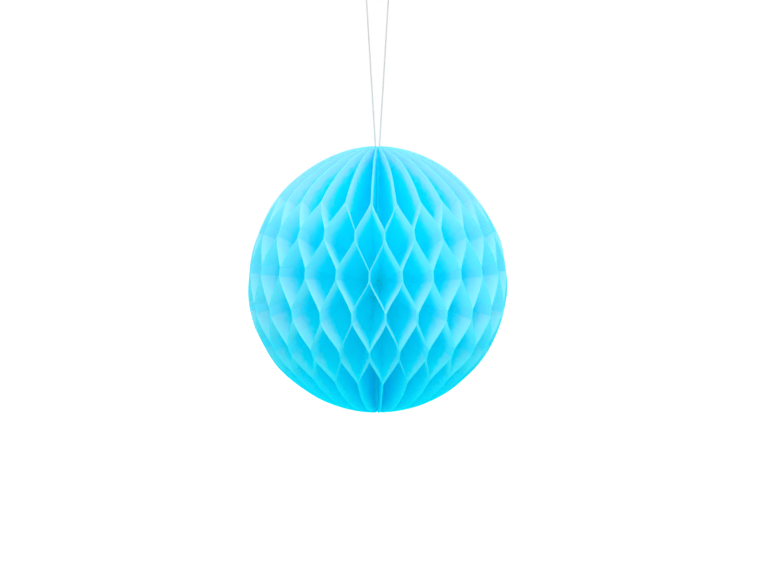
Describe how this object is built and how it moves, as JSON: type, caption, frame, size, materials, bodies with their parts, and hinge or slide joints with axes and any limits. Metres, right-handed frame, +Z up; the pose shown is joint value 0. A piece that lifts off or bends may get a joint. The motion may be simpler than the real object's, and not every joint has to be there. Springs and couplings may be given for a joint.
{
  "type": "honeycomb paper ball",
  "caption": "Ball of glued tissue leaves, fanned round a spine into staggered honeycomb cells and hung from a thread loop as a decoration.",
  "frame": {"origin": "the hang point, under the thread at the top of its loop", "axes": "+Z up along the thread and the spine, +Y towards the back, where the cards close the ball"},
  "size_m": [0.1, 0.0999, 0.1666],
  "materials": {
    "tissue": "matt, dyed tissue paper",
    "card": "matt, uncoated card",
    "adhesive": "satin, double-sided tape",
    "thread": "matt, twisted cotton"
  },
  "bodies": {
    "root": {"honeycomb_body": "tissue", "left_end_card": "card", "right_end_card": "card", "upper_adhesive_strip": "adhesive", "lower_adhesive_strip": "adhesive", "thread_knot": "thread", "hanging_thread": "thread"}
  },
  "joints": []
}
